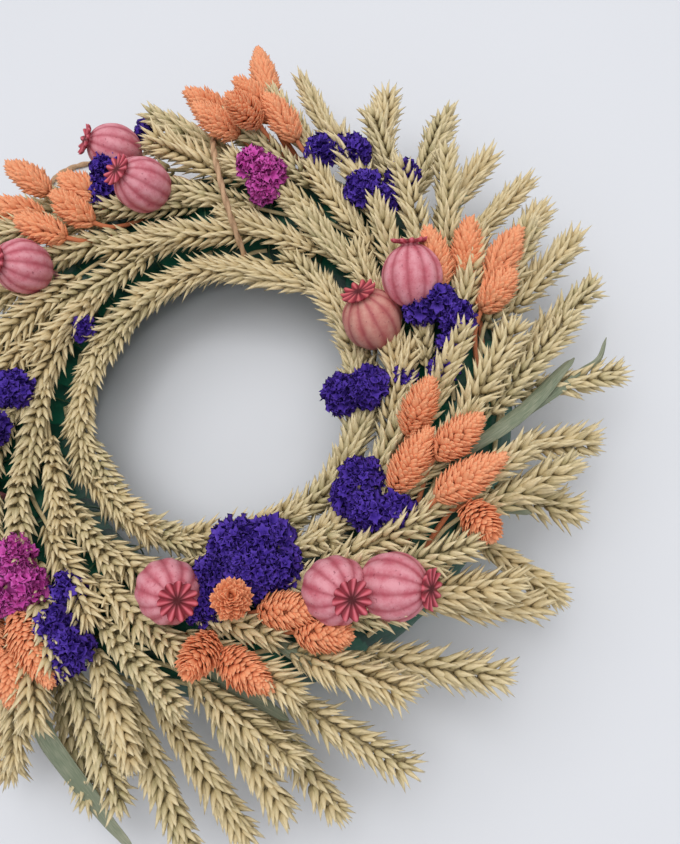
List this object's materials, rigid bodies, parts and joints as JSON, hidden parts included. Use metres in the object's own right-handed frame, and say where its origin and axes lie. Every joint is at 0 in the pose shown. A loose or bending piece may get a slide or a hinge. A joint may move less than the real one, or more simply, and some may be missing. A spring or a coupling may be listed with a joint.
{
  "type": "harvest door wreath",
  "caption": "Wreath of dried wheat ears, canary grass, poppy capsules and sea lavender bound on a film-wrapped straw ring, with a twine loop to hang it by.",
  "frame": {"origin": "centre of the straw ring, in the plane of its flat back", "axes": "+Z out of the front, towards the flowers; +Y towards the top of the wreath, where the hanging loop is tied"},
  "size_m": [0.4119, 0.4371, 0.1019],
  "materials": {
    "straw_core": "matt bundled straw",
    "green_film": "thin crinkled dark green film, glossy",
    "wire": "green lacquered binding wire",
    "wheat": "dry straw, satin husks",
    "poppy_stem": "dyed dry stem, matt",
    "poppy": "dyed dry seed capsule, matt and powdery",
    "canary_grass": "dyed dry grass head, matt",
    "violet_sea_lavender": "papery violet florets",
    "pink_sea_lavender": "papery magenta florets",
    "dried_leaf": "dry grey-green leaf blade with long veins",
    "raffia": "twisted paper-raffia twine, matt"
  },
  "bodies": {
    "root": {"straw_ring": "straw_core", "film_wrap": "green_film", "binding_wires": "wire", "wheat_bunch_01": "wheat", "wheat_bunch_02": "wheat", "wheat_bunch_03": "wheat", "wheat_bunch_04": "wheat", "wheat_bunch_05": "wheat", "wheat_bunch_06": "wheat", "wheat_bunch_07": "wheat", "wheat_bunch_08": "wheat", "wheat_bunch_09": "wheat", "wheat_bunch_10": "wheat", "wheat_bunch_11": "wheat", "wheat_bunch_12": "wheat", "wheat_bunch_13": "wheat", "wheat_bunch_14": "wheat", "wheat_bunch_15": "wheat", "wheat_bunch_16": "wheat", "wheat_bunch_17": "wheat", "wheat_bunch_18": "wheat", "poppy_1": "poppy", "poppy_2": "poppy", "poppy_3": "poppy", "poppy_4": "poppy", "poppy_5": "poppy", "poppy_6": "poppy", "poppy_7": "poppy", "poppy_8": "poppy", "poppy_9": "poppy", "poppy_stems": "poppy_stem", "canary_grass_top": "canary_grass", "canary_grass_left": "canary_grass", "canary_grass_upper_right": "canary_grass", "canary_grass_right": "canary_grass", "canary_grass_bottom": "canary_grass", "canary_grass_lower_left": "canary_grass", "lavender_top_left": "violet_sea_lavender", "lavender_top": "violet_sea_lavender", "lavender_right": "violet_sea_lavender", "lavender_inner_right": "violet_sea_lavender", "lavender_lower_right": "violet_sea_lavender", "lavender_bottom": "violet_sea_lavender", "lavender_lower_left": "violet_sea_lavender", "lavender_left": "violet_sea_lavender", "pink_lavender_top": "pink_sea_lavender", "pink_lavender_lower_left": "pink_sea_lavender", "leaves_right": "dried_leaf", "leaf_top": "dried_leaf", "leaves_bottom": "dried_leaf", "leaf_long": "dried_leaf", "hanger_band": "raffia", "hanger_knot": "raffia", "hanging_loop": "raffia"}
  },
  "joints": []
}
